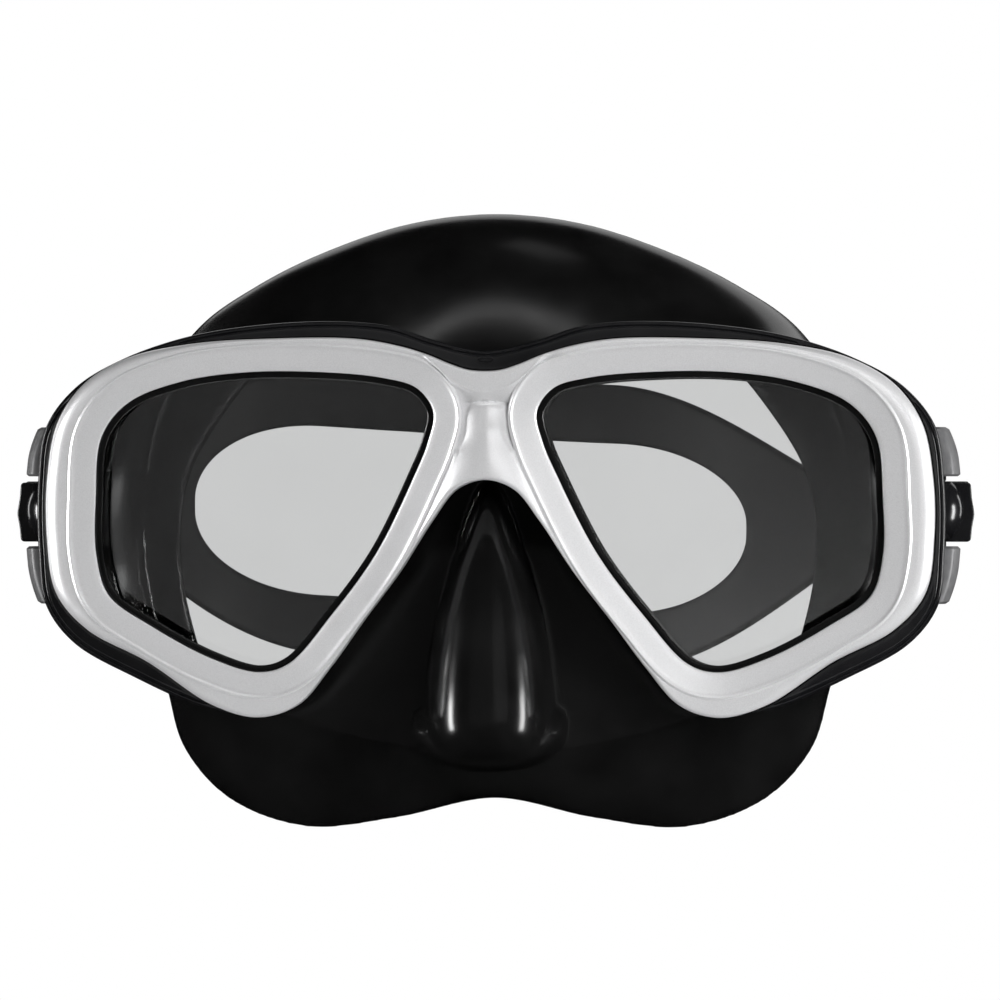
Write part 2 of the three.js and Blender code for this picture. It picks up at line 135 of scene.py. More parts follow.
FACE_OPENING_HALF = [
    (0, 42), (15, 40), (29, 35.2), (40.5, 28.5), (49, 19), (56.5, 6), (58, -8), (55.5, -22),
    (52, -31), (47, -39), (39, -44.5), (28, -45), (17, -38), (8, -32), (0, -30),
]


# ---------------------------------------------------------------- plane curves

def smooth_closed(points, steps):
    """The centripetal Catmull-Rom curve through a closed list of points, steps to each span."""
    p = np.asarray(points, float)
    t = np.linspace(0, 1, steps, endpoint=False)[:, None]
    spans = []
    for i in range(len(p)):
        a, b, c, d = (p[(i + k) % len(p)] for k in (-1, 0, 1, 2))
        before, span, after = (np.linalg.norm(v) ** 0.5 for v in (b - a, c - b, d - c))
        leave = (b - a) / before - (c - a) / (before + span) + (c - b) / span
        arrive = (c - b) / span - (d - b) / (span + after) + (d - c) / after
        leave, arrive = leave * span, arrive * span
        spans.append(
            b + leave * t + (3 * (c - b) - 2 * leave - arrive) * t**2
            + (leave + arrive - 2 * (c - b)) * t**3
        )
    return np.concatenate(spans)


def whole_outline(half, steps=40):
    """The closed outline over both eyes, from its right half."""
    other = [(-x, z) for x, z in half[-2:0:-1]]
    return smooth_closed(list(half) + other, steps)


def right_half(half, steps=40):
    """The right half of the outline as an open curve, from top middle to bottom middle."""
    curve = whole_outline(half, steps)[: (len(half) - 1) * steps + 1]
    curve[0, 0] = curve[-1, 0] = 0
    return curve


def spaced(curve, gap, closed=False):
    """The curve's points moved to about an even gap along it."""
    if closed:
        curve = np.vstack([curve, curve[:1]])
    run = np.concatenate([[0], np.cumsum(np.linalg.norm(np.diff(curve, axis=0), axis=1))])
    count = max(3, round(run[-1] / gap))
    at = np.linspace(0, run[-1], count + 1)
    even = np.stack([np.interp(at, run, curve[:, k]) for k in range(curve.shape[1])], axis=1)
    return even[:-1] if closed else even


def nearest_on(loop, points, chunk=1500):
    """The nearest place on a closed loop to each point, and how far away it is."""
    along = np.roll(loop, -1, axis=0) - loop
    length = (along**2).sum(1)
    places = []
    for k in range(0, len(points), chunk):
        part = points[k:k + chunk, None]
        share = np.clip(((part - loop) * along).sum(2) / length, 0, 1)
        place = loop + share[..., None] * along
        best = ((part - place) ** 2).sum(2).argmin(1)
        places.append(place[np.arange(len(best)), best])
    places = np.concatenate(places)
    return places, np.linalg.norm(points - places, axis=1)


def outward_normals(loop):
    """Unit normals of a closed loop that point away from its inside."""
    ahead = np.roll(loop, -1, axis=0) - np.roll(loop, 1, axis=0)
    normal = np.stack([ahead[:, 1], -ahead[:, 0]], axis=1)
    normal /= np.linalg.norm(normal, axis=1)[:, None]
    after = np.roll(loop, -1, axis=0)
    area = (loop[:, 0] * after[:, 1] - loop[:, 1] * after[:, 0]).sum()
    return normal if area > 0 else -normal


def offset(loop, distance):
    return loop + outward_normals(loop) * distance


def smoothstep(value, low, high):
    t = np.clip((np.asarray(value, float) - low) / (high - low), 0, 1)
    return t * t * (3 - 2 * t)


def lerp(a, b, share):
    return a + (b - a) * share


def lens_plane(x, z):
    """How far in front of the face the lens plane lies; it turns smoothly across the nose."""
    side = np.abs(x)
    side = np.where(side < NOSE_BLEND, (side**2 + NOSE_BLEND**2) / (2 * NOSE_BLEND), side)
    return LENS_Y + SWEEP * side - TILT * z


def on_lens_plane(plan, depth):
    """Points in space from (x, z) on the lens plane and depths behind it."""
    x, z = plan[..., 0], plan[..., 1]
    return np.stack([x, lens_plane(x, z) + depth, z], axis=-1)


# ---------------------------------------------------------------- shells: (points, faces)

def grid_shell(rows, close_rows=False, close_columns=False):
    """A sheet of quads through a grid of points; either way round can be closed."""
    rows = np.asarray(rows, float)
    r, c = rows.shape[:2]
    i = np.arange(r if close_rows else r - 1)[:, None]
    j = np.arange(c if close_columns else c - 1)[None]
    a, b = i * c + j, i * c + (j + 1) % c
    d, e = ((i + 1) % r) * c + j, ((i + 1) % r) * c + (j + 1) % c
    faces = np.stack([a, b, e, d], axis=-1).reshape(-1, 4)
    return rows.reshape(-1, 3), faces.tolist()


def tube_shell(rows):
    """A closed solid through rings of points, with a fan over each end."""
    rows = np.asarray(rows, float)
    points, faces = grid_shell(rows, close_columns=True)
    count = rows.shape[1]
    for ring, start in ((rows[0], 0), (rows[-1], len(points) - count)):
        hub = len(points)
        points = np.vstack([points, ring.mean(0)])
        faces += [[hub, start + k, start + (k + 1) % count] for k in range(count)]
    return points, faces


def joined(*shells):
    points, faces, start = [], [], 0
    for p, f in shells:
        points.append(p)
        faces += [[k + start for k in face] for face in f]
        start += len(p)
    return np.vstack(points), faces


def mirrored(shell):
    points, faces = shell
    return points * (-1, 1, 1), [face[::-1] for face in faces]


def rounded_slab(outline, low, high, edge, axis="z", steps=4):
    """A slab with rounded edges. The outline is (x, y) for axis z, (x, z) for axis y."""
    outline = np.asarray(outline, float)
    normals = outward_normals(outline)
    turn = np.linspace(0, math.pi / 2, steps + 1)
    inset = [edge * (1 - math.sin(t)) for t in turn]
    rise = [edge * (1 - math.cos(t)) for t in turn]
    levels = [(low, 1.25 * edge)] + [(low + up, into) for up, into in zip(rise, inset)]
    levels += [(high - up, into) for up, into in zip(rise[::-1], inset[::-1])] + [(high, 1.25 * edge)]
    rows = []
    for level, into in levels:
        plan = outline - normals * into
        depth = np.full(len(plan), level)
        order = (plan[:, 0], plan[:, 1], depth) if axis == "z" else (plan[:, 0], depth, plan[:, 1])
        rows.append(np.stack(order, axis=-1))
    return tube_shell(rows)


def lathe(profile, x, y, count=40):
    """A solid turned about the vertical axis through (x, y); the profile is (radius, height)."""
    turn = np.linspace(0, 2 * math.pi, count, endpoint=False)
    rows = [
        np.stack([x + r * np.cos(turn), y + r * np.sin(turn), np.full(count, z)], axis=-1)
        for r, z in profile
    ]
    return tube_shell(rows)


def rounded_polygon(corners, radius, steps=5):
    """A closed outline with every corner rounded by an arc-like bend."""
    p = np.asarray(corners, float)
    out = []
    for i, b in enumerate(p):
        a, c = p[i - 1], p[(i + 1) % len(p)]
        reach = min(radius, 0.45 * np.linalg.norm(a - b), 0.45 * np.linalg.norm(c - b))
        start = b + (a - b) / np.linalg.norm(a - b) * reach
        end = b + (c - b) / np.linalg.norm(c - b) * reach
        for t in np.linspace(0, 1, steps + 1):
            out.append((1 - t) ** 2 * start + 2 * t * (1 - t) * b + t * t * end)
    return np.array(out)


def make_piece(name, shell, material, body, stands_for=(), crease=40):
    """A Blender object from a shell in millimetres, riding on a body."""
    points, faces = shell
    mesh = bpy.data.meshes.new(name)
    mesh.from_pydata((np.asarray(points) * MM).tolist(), [], faces)
    tidy_mesh(mesh, crease)
    mesh.materials.append(material)
    piece = bpy.data.objects.new(name, mesh)
    bpy.context.scene.collection.objects.link(piece)
    if stands_for:
        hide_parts(*stands_for)
    if body:
        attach(piece, body)
    return piece


def tidy_mesh(mesh, crease):
    bm = bmesh.new()
    bm.from_mesh(mesh)
    bmesh.ops.remove_doubles(bm, verts=bm.verts, dist=1e-7)
    bmesh.ops.recalc_face_normals(bm, faces=bm.faces)
    bm.to_mesh(mesh)
    bm.free()
    mesh.shade_smooth()
    mesh.set_sharp_from_angle(angle=math.radians(crease))


# ---------------------------------------------------------------- materials

def start_material(name, color, metallic=0.0, roughness=0.5):
    material = bpy.data.materials.new(name)
    material.use_nodes = True
    nodes = material.node_tree.nodes
    shader = nodes["Principled BSDF"]
    shader.inputs["Base Color"].default_value = (*color, 1)
    shader.inputs["Metallic"].default_value = metallic
    shader.inputs["Roughness"].default_value = roughness
    return material, material.node_tree, shader


def noise(tree, scale, detail=3.0):
    """Noise over the object's own coordinates; scale is in cells per metre."""
    place = tree.nodes.new("ShaderNodeTexCoord")
    texture = tree.nodes.new("ShaderNodeTexNoise")
    texture.inputs["Scale"].default_value = scale
    texture.inputs["Detail"].default_value = detail
    tree.links.new(place.outputs["Object"], texture.inputs["Vector"])
    return texture.outputs["Fac"]


def ramp(tree, factor, low, high, start=0.3, end=0.7):
    """Two colours spread over a part of the factor's range."""
    node = tree.nodes.new("ShaderNodeValToRGB")
    node.color_ramp.elements[0].position = start
    node.color_ramp.elements[0].color = (*low, 1)
    node.color_ramp.elements[1].position = end
    node.color_ramp.elements[1].color = (*high, 1)
    tree.links.new(factor, node.inputs["Fac"])
    return node.outputs["Color"]


def spread(tree, factor, low, high):
    """A number that runs from low to high with the factor."""
    node = tree.nodes.new("ShaderNodeMapRange")
    node.inputs["From Min"].default_value = 0.3
    node.inputs["From Max"].default_value = 0.7
    node.inputs["To Min"].default_value = low
    node.inputs["To Max"].default_value = high
    tree.links.new(factor, node.inputs["Value"])
    return node.outputs["Result"]


def bump(tree, shader, height, strength, distance):
    node = tree.nodes.new("ShaderNodeBump")
    node.inputs["Strength"].default_value = strength
    node.inputs["Distance"].default_value = distance
    tree.links.new(height, node.inputs["Height"])
    tree.links.new(node.outputs["Normal"], shader.inputs["Normal"])


def silver_paint():
    """Satin silver paint: fine metal flakes under a thin clear coat."""
    material, tree, shader = start_material("silver_paint", (0.88, 0.88, 0.89), 0.68)
    flakes = noise(tree, 9000, 2)
    tree.links.new(
        ramp(tree, flakes, (0.76, 0.76, 0.77), (0.92, 0.92, 0.93)), shader.inputs["Base Color"]
    )
    tree.links.new(spread(tree, noise(tree, 160, 4), 0.33, 0.38), shader.inputs["Roughness"])
    bump(tree, shader, flakes, 0.06, 0.00002)
    shader.inputs["Coat Weight"].default_value = 0.25
    shader.inputs["Coat Roughness"].default_value = 0.12
    return material


def black_plastic():
    """Moulded black plastic with a polished face and a faint moulding haze."""
    material, tree, shader = start_material("black_plastic", (0.006, 0.006, 0.007))
    haze = noise(tree, 240, 4)
    tree.links.new(
        ramp(tree, haze, (0.003, 0.003, 0.0035), (0.006, 0.006, 0.0065)), shader.inputs["Base Color"]
    )
    tree.links.new(spread(tree, haze, 0.13, 0.20), shader.inputs["Roughness"])
    bump(tree, shader, noise(tree, 1400, 2), 0.04, 0.00003)
    return material


def grey_plastic():
    """The satin grey ears that hold the buckles."""
    material, tree, shader = start_material("grey_plastic", (0.2, 0.2, 0.2), 0.2)
    grain = noise(tree, 700, 3)
    tree.links.new(
        ramp(tree, grain, (0.075, 0.075, 0.077), (0.10, 0.10, 0.102)), shader.inputs["Base Color"]
    )
    tree.links.new(spread(tree, grain, 0.36, 0.46), shader.inputs["Roughness"])
    return material


def silicone(name, low, high, shine):
    """Black silicone rubber; low and high are its range of roughness."""
    material, tree, shader = start_material(name, (0.005, 0.005, 0.005))
    cloud = noise(tree, 90, 5)
    tree.links.new(
        ramp(tree, cloud, (0.002, 0.002, 0.002), (0.004, 0.004, 0.004)), shader.inputs["Base Color"]
    )
    tree.links.new(spread(tree, cloud, low, high), shader.inputs["Roughness"])
    bump(tree, shader, noise(tree, 2600, 3), 0.05, 0.00003)
    shader.inputs["Specular IOR Level"].default_value = shine
    return material


def lens_glass():
    """Tempered glass with a light grey tint and the faintest haze."""
    material, tree, shader = start_material("lens_glass", (0.66, 0.67, 0.67), 0, 0.0)
    shader.inputs["Transmission Weight"].default_value = 1.0
    shader.inputs["IOR"].default_value = 1.5
    tree.links.new(
        ramp(tree, noise(tree, 40, 2), (0.60, 0.605, 0.605), (0.62, 0.625, 0.625)),
        shader.inputs["Base Color"],
    )
    return material


def steel():
    """Drawn stainless steel with fine lengthwise marks."""
    material, tree, shader = start_material("steel", (0.55, 0.56, 0.57), 1.0, 0.3)
    marks = noise(tree, 3200, 2)
    tree.links.new(spread(tree, marks, 0.22, 0.38), shader.inputs["Roughness"])
    bump(tree, shader, marks, 0.08, 0.00002)
    return material


SILVER = silver_paint()
PLASTIC = black_plastic()
SKIRT_SILICONE = silicone("skirt_silicone", 0.17, 0.22, 0.42)
STRAP_SILICONE = silicone("strap_silicone", 0.40, 0.50, 0.12)
GLASS = lens_glass()
STEEL = steel()
GREY = grey_plastic()

OPENING = smooth_closed(LENS_OPENING, 60)
BEZEL_LOOP = whole_outline(BEZEL_HALF)
FRAME_LOOP = whole_outline(FRAME_HALF)


# ---------------------------------------------------------------- bezel and frame

EDGE_LINES = (1.5, 1.35, 1.2, 1.07, 0.95, 0.8, 0.62, 0.45, 0.3, 0.17, 0.07, 0.0)


def eye_rows(edge_half, inner_lines, lines_out, middle_gap=0.3, edge_gap=0.45):
    """Rows of plan points round the right eye, from its opening out to the plate's edge and
    the middle line. inner_lines are distances out from the opening; lines_out more follow,
    and the last rows lie EDGE_LINES in from the edge."""
    edge = spaced(right_half(edge_half), edge_gap)
    top, bottom = edge[0, 1], edge[-1, 1]
    lines = np.array(EDGE_LINES[:-1])
    middle = np.linspace(bottom, top, round((top - bottom) / middle_gap) + 1)
    middle = middle[(middle > bottom + lines[0] + 0.1) & (middle < top - lines[0] - 0.1)]
    middle = np.concatenate([bottom + lines[::-1], middle, top - lines])
    edge = np.vstack([edge, np.stack([np.zeros(len(middle)), middle], axis=1)])
    foot, reach = nearest_on(OPENING, edge)
    away = (edge - foot) / reach[:, None]
    last = inner_lines[-1]
    margin = np.minimum(EDGE_LINES[0], 0.5 * (reach - last))
    distances = [np.full(len(edge), line) for line in inner_lines]
    distances += [last + (reach - last - margin) * k / lines_out for k in range(1, lines_out)]
    distances += [reach - margin * line / EDGE_LINES[0] for line in EDGE_LINES]
    return [foot + away * distance[:, None] for distance in distances]


def both_halves(rows):
    """Closes right-hand rows into a ring, mirrors it and leaves the middle line open."""
    points, faces = grid_shell(rows, close_rows=True, close_columns=True)
    on_middle = np.abs(points[:, 0]) < 1e-6
    faces = [face for face in faces if not all(on_middle[k] for k in face)]
    return joined((points, faces), mirrored((points, faces)))


# How the ring's face lies back at each distance out from the opening: a small round at the
# glass, a slope up to the fine raised crest, and the step down outside it.
RING_FACE = [
    (0.0, -1.6), (0.05, -1.85), (0.16, -2.05), (0.36, -2.16), (1.2, -2.34), (2.4, -2.62),
    (3.6, -2.9), (4.1, -3.04), (4.32, -3.18), (4.46, -3.34), (CREST, -3.42), (4.74, -3.38),
    (4.86, -3.24), (4.95, -3.08), (CREST_END, BEZEL_FACE),
]


def bezel_face(plan):
    """Depth of the bezel's front face at plan points."""
    x, z = np.abs(plan[:, 0]), plan[:, 1]
    out = nearest_on(OPENING, np.stack([x, z], axis=1))[1]
    edge = nearest_on(BEZEL_LOOP, plan)[1]
    side = smoothstep(x, 42, 62)
    beyond = np.maximum(out - CREST_END, 0)

    # The bridge: a band along the top, a facet that falls away under it, and the saddle.
    below = BAND_EDGE_Z + 2.5 * (x / 6.5) ** 2 - z
    facet = np.minimum(-3.35 + 0.55 * np.maximum(below, 0), -1.3)
    facet -= 0.14 * np.exp(-((below / 0.22) ** 2))
    base = lerp(BEZEL_FACE, facet, smoothstep(z, 10, 14) * (1 - smoothstep(x, 9, 14)))
    across = x / np.maximum(x + beyond, 1e-6)
    swell = np.clip(1 - across**2, 0, 1) ** 0.7 * (1 - smoothstep(x, 12, 46))
    spread_out = base + (SADDLE_FRONT - base) * swell
    end = np.sqrt(np.clip(1 - (np.maximum(z - 15.4, 0) / 4.0) ** 2, 0, 1))
    crown = lerp(-2.6, lerp(SADDLE_FRONT, -4.1, smoothstep(z, 4, 15)), end)
    upright = np.minimum(base, crown + 1.6 * (np.hypot(1, x / 2.4) - 1))
    top = lerp(spread_out, upright, smoothstep(z, 4, 15))

    # The bead: the outer edge rolls back, widely at the sides and tightly elsewhere.
    wide = np.minimum(lerp(0.75, 2.9, side), np.maximum(beyond + edge, 0.05))
    drop = lerp(0.9, 2.7, side)
    roll = np.clip(1 - edge / wide, 0, 1)
    outside = top + drop * (1 - np.sqrt(1 - roll**2))
    line, level = np.transpose(RING_FACE)
    return np.where(out <= CREST_END + 1e-6, np.interp(out, line, level), outside)


def front_bezel():
    inner = [distance for distance, _ in RING_FACE]
    plans = eye_rows(BEZEL_HALF, inner, 26)
    rows = [on_lens_plane(plan, bezel_face(plan)) for plan in plans]
    outline = plans[-1]
    on_middle = np.abs(outline[:, 0]) < 1e-6
    low, high = outline[on_middle, 1].min(), outline[on_middle, 1].max()
    for step, depth in ((-1, BEZEL_RIM_BACK), (-10, BEZEL_RIM_BACK), (-12, BEZEL_BACK)):
        z = np.clip(outline[:, 1], low + EDGE_LINES[step], high - EDGE_LINES[step])
        middle = np.stack([np.zeros(len(z)), z], axis=1)
        plan = np.where(on_middle[:, None], middle, plans[step])
        rows.append(on_lens_plane(plan, np.full(len(z), depth)))
    rows.append(on_lens_plane(plans[4], np.full(len(plans[4]), BEZEL_BACK)))
    rows.append(on_lens_plane(plans[0], np.full(len(plans[0]), BEZEL_BACK)))
    return both_halves(rows)


# The ridges of the frame's band: distance in from its edge, and depth.
BAND_RIDGES = [
    (0.0, 3.0), (0.12, 2.55), (0.3, 2.3), (0.5, 2.25), (0.68, 2.5), (0.82, 2.55), (0.98, 2.2),
    (1.15, 2.12), (1.4, 2.3), (3.6, 2.95), (6, 3.2),
]


def frame_face(plan):
    """Depth of the frame's front: its spigot inside the bezel, and the ridged band outside."""
    edge = nearest_on(FRAME_LOOP, plan)[1]
    bezel = nearest_on(BEZEL_LOOP, plan)[1]
    inside = np.array([bezel_holds(x, z) for x, z in plan])
    line, level = np.transpose(BAND_RIDGES)
    band = np.interp(edge, line, level)
    outer = lerp(FRAME_STEP, band, smoothstep(bezel, 0.05, 0.4))
    inner = np.where(bezel > BEZEL_RIM_WIDE + 0.3, LIP_FRONT, FRAME_STEP)
    return np.where(inside, inner, outer)


def bezel_holds(x, z):
    """True if the plan point is inside the bezel's outline."""
    a, b = BEZEL_LOOP, np.roll(BEZEL_LOOP, -1, axis=0)
    crosses = (a[:, 1] > z) != (b[:, 1] > z)
    at = a[crosses, 0] + (z - a[crosses, 1]) / (b[crosses, 1] - a[crosses, 1]) * (
        b[crosses, 0] - a[crosses, 0]
    )
    return (at > x).sum() % 2 == 1


def oval_mark():
    """The small raised oval at the middle of the frame's top band."""
    turn = np.linspace(0, 2 * math.pi, 41)[:-1]
    centre = np.stack([1.3 * np.cos(turn), 26.8 + 0.42 * np.sin(turn)], axis=1)
    normals = outward_normals(centre)
    rows = []
    for t in np.linspace(0, 2 * math.pi, 13)[:-1]:
        rows.append(on_lens_plane(
            centre + 0.13 * math.cos(t) * normals, np.full(len(centre), 2.36 + 0.16 * math.sin(t))
        ))
    return grid_shell(rows, close_rows=True, close_columns=True)


def ear(low, high):
    """One ear of the frame: a plate that tapers outward and rounds about the swivel pin."""
    rows = []
    near = min(abs(low), abs(high))
    for share in np.linspace(0, 1, 25):
        z = lerp(low, high, share)
        away = (abs(z) - near) / abs(high - low)
        outer = 84.9 - 0.9 * away - 2.6 * max(0, away - 0.3) ** 1.8
        end = min(share, 1 - share) * abs(high - low)
        inset = 0.5 * (1 - math.sqrt(1 - (1 - min(end / 0.5, 1)) ** 2))
        corners = [(77, -18.4), (outer - 1.2, -17.6), (outer, -13.5), (outer - 0.3, -5.2),
                   (outer - 2.2, -3.4), (77.6, -3.4), (76, -5)]
        plan = rounded_polygon(corners, 1.2)
        plan = offset(plan, -inset)
        rows.append(np.column_stack([plan, np.full(len(plan), z)]))
    return tube_shell(rows)


def main_frame():
    inner = [3.2, 3.4, 4.2]
    plans = eye_rows(FRAME_HALF, inner, 22)
    rows = [on_lens_plane(plan, frame_face(plan)) for plan in plans]
    wall = plans[-1]
    rows.append(on_lens_plane(wall, np.full(len(wall), FRAME_BACK - 0.6)))
    rows.append(on_lens_plane(plans[-7], np.full(len(wall), FRAME_BACK)))
    rows.append(on_lens_plane(plans[0], np.full(len(wall), FRAME_BACK)))
    return joined(both_halves(rows), oval_mark())


def frame_ears():
    ears = joined(ear(EAR_LOW, EAR_TOP), ear(-EAR_BOTTOM, -EAR_LOW - 0.5))
    return joined(ears, mirrored(ears))


make_piece("silver_bezel", front_bezel(), SILVER, "root", ["front_bezel"], 50)
make_piece("black_frame", main_frame(), PLASTIC, "root", ["main_frame"], 60)
make_piece("frame_ears", frame_ears(), GREY, "root", ["main_frame"], 35)


# ---------------------------------------------------------------- lenses

def lens(side):
    outline = offset(spaced(OPENING, 0.7, closed=True), 1.5)
    points, faces = rounded_slab(outline, 0, GLASS_THICK, 0.35, axis="y")
    points = on_lens_plane(points[:, [0, 2]], points[:, 1])
    shell = (points, faces)
    return shell if side > 0 else mirrored(shell)


for side, word in ((1, "right"), (-1, "left")):
    make_piece(f"glass_{word}", lens(side), GLASS, "root", [f"lens_{word}"], 12)


# ---------------------------------------------------------------- skirt

def reach_of(half):
    """Distance from the skirt's axis to an outline, as a function of the angle round it."""
    loop = whole_outline(half)
    angle = np.arctan2(loop[:, 1] - SKIRT_CENTRE_Z, loop[:, 0])
    radius = np.hypot(loop[:, 0], loop[:, 1] - SKIRT_CENTRE_Z)
    order = np.argsort(angle)
    return lambda at: np.interp(at, angle[order], radius[order], period=2 * math.pi)


FRONT_REACH = reach_of(SKIRT_FRONT_HALF)
SEAL_REACH = reach_of(SEAL_HALF)
FACE_REACH = reach_of(FACE_OPENING_HALF)


def seal_y(x, z):
    return 8 * (x / 62) ** 2 - 3 * np.maximum(0, -z - 35) / 20


def skirt_row(share, radius, angle):
    x = radius * np.cos(angle)
    z = radius * np.sin(angle) + SKIRT_CENTRE_Z
    y = lerp(lens_plane(x, z) + SKIRT_FRONT, seal_y(x, z), share)
    return np.stack([x, y, z], axis=-1)


def wall_radius(share, angle, inset=0.0):
    flare = math.sin(share * math.pi / 2) ** 0.9
    return lerp(FRONT_REACH(angle), SEAL_REACH(angle), flare) - inset


def skirt_outside(angle):
    return tube_shell([skirt_row(s, wall_radius(s, angle), angle) for s in np.linspace(0, 1, 33)])


def skirt_inside(angle):
    shares = np.linspace(0.06, 0.88, 24)
    rows = [skirt_row(s, wall_radius(s, angle, SKIRT_WALL), angle) for s in shares]
    rows += [skirt_row(s, FACE_REACH(angle), angle) for s in (0.93, 1.3)]
    return tube_shell(rows)


def pocket_rows(steps, size, fullness):
    """Rings of the nose pocket; size gives (half-width, front, back, height) at each step."""
    turn = np.linspace(0, 2 * math.pi, 97)[:-1]
    across = np.sign(np.cos(turn)) * np.abs(np.cos(turn)) ** (2 / fullness)
    along = np.sign(np.sin(turn)) * np.abs(np.sin(turn)) ** (2 / fullness)
    rows = []
    for step in steps:
        wide, front, back, z = size(step)
        deep = np.where(along < 0, front, back)
        rows.append(np.stack([
            wide * across, POCKET_BASE_Y + deep * along, np.full(len(turn), z)
        ], axis=-1))
    return rows


def nose_pocket(inset, back):
    """Narrow under the bridge and full at the nostrils."""
    line = (0, 0.04, 0.128, 0.283, 0.457, 0.6, 0.709, 0.8, 1)
    width = (0.6, 2.0, 3.9, 6.9, 9.5, 10.9, 11.6, 12.1, 12.6)

    def size(step):
        down = (1 - math.cos(step)) / 2
        close = math.sqrt(max(0, 1 - down**16))
        height = down * (POCKET_TOP - POCKET_BOTTOM - 2 * inset)
        wide = max(0.02, np.interp(height / 51.2, line, width) * close - inset)
        front = max(0.02, 24.2 * down**0.36 * close - inset)
        return wide, front, max(0.02, back * close), POCKET_TOP - inset - height

    return tube_shell(pocket_rows(np.linspace(0.02, math.pi - 0.02, 60), size, 2.3))


def nostril_cup(inset, back):
    """The fuller lobe under the nose pocket, set back from its face."""
    line = (0, 0.05, 0.16, 0.36, 0.55, 0.72, 0.86, 0.95, 1)
    width = (12.2, 13.6, 14.2, 14.3, 13.7, 12.2, 9.4, 6.2, 0.5)
    front = (9, 11.5, 14, 16.4, 17.4, 17, 15, 11.5, 1)

    def size(step):
        down = (1 - math.cos(step)) / 2
        open_ = min(1, down / 0.012) ** 0.5
        wide = max(0.02, np.interp(down, line, width) * open_ - inset)
        deep = max(0.02, np.interp(down, line, front) * open_ - inset)
        z = CUP_TOP - inset - down * (CUP_TOP - CUP_BOTTOM - 2 * inset)
        return wide, deep, max(0.02, back * open_ * (1 - down**6)), z

    return tube_shell(pocket_rows(np.linspace(0.02, math.pi - 0.02, 60), size, 2.1))


def lens_seat():
    """The channel that grips a lens: a lip in front, a groove for the glass and a tall wall."""
    section = [
        (-1.2, -0.25), (-1.2, -0.62), (-1.12, -0.8), (-0.95, -0.9), (-0.6, -0.93), (2.5, -0.9),
        (2.85, -0.75), (2.9, -0.4), (2.9, 10.6), (2.2, 11.3), (0.0, 11.3), (-0.9, 10.9),
        (-1.2, 10.2), (-1.2, 4.7), (-1.05, 4.35), (1.7, 4.2), (1.7, -0.2), (-1.05, -0.15),
    ]
    loop = spaced(OPENING, 0.6, closed=True)
    normals = outward_normals(loop)
    rows = [on_lens_plane(loop + normals * out, np.full(len(loop), v)) for out, v in section]
    return grid_shell(rows, close_rows=True, close_columns=True)


def plan_slab(distance, front, back):
    """A cutter through the skirt's front wall, following the opening."""
    outline = offset(spaced(OPENING, 0.7, closed=True), distance)
    points, faces = rounded_slab(outline, front, back, 0.1, axis="y", steps=1)
    return on_lens_plane(points[:, [0, 2]], points[:, 1]), faces


def cut_and_smooth(body, added, removed, voxel, rounds):
    """Joins and cuts shells, remeshes the result evenly and smooths it."""
    work = []

    def helper(shell):
        mesh = bpy.data.meshes.new("helper")
        mesh.from_pydata((np.asarray(shell[0]) * MM).tolist(), [], shell[1])
        tidy_mesh(mesh, 180)
        found = bpy.data.objects.new("helper", mesh)
        bpy.context.scene.collection.objects.link(found)
        work.append(found)
        return found

    main = helper(body)
    for operation, shells in (("UNION", added), ("DIFFERENCE", removed)):
        for shell in shells:
            cut = main.modifiers.new(operation, "BOOLEAN")
            cut.operation = operation
            cut.solver = "MANIFOLD"
            cut.object = helper(shell)
    even = main.modifiers.new("even", "REMESH")
    even.mode = "VOXEL"
    even.voxel_size = voxel * MM
    soft = main.modifiers.new("soft", "SMOOTH")
    soft.factor = 0.5
    soft.iterations = rounds
    bpy.context.view_layer.update()
    mesh = bpy.data.meshes.new_from_object(main.evaluated_get(bpy.context.evaluated_depsgraph_get()))
    points = np.empty(len(mesh.vertices) * 3)
    mesh.vertices.foreach_get("co", points)
    faces = [list(p.vertices) for p in mesh.polygons]
    for found in work:
        bpy.data.objects.remove(found)
    return points.reshape(-1, 3) / MM, faces


def skirt():
    angle = np.linspace(-math.pi, math.pi, 289)[:-1]
    sight = plan_slab(0.6, LIP_FRONT - 2, SKIRT_FRONT + 6)
    hollows = [nose_pocket(SKIRT_WALL, 12), nostril_cup(SKIRT_WALL, 9)]
    removed = [skirt_inside(angle), *hollows, sight, mirrored(sight)]
    added = [nose_pocket(0, 4), nostril_cup(0, 4)]
    body = cut_and_smooth(skirt_outside(angle), added, removed, 0.55, 5)
    seat = lens_seat()
    return joined(body, seat, mirrored(seat))


make_piece("silicone_skirt", skirt(), SKIRT_SILICONE, "root", ["skirt"], 60)


# ---------------------------------------------------------------- strap

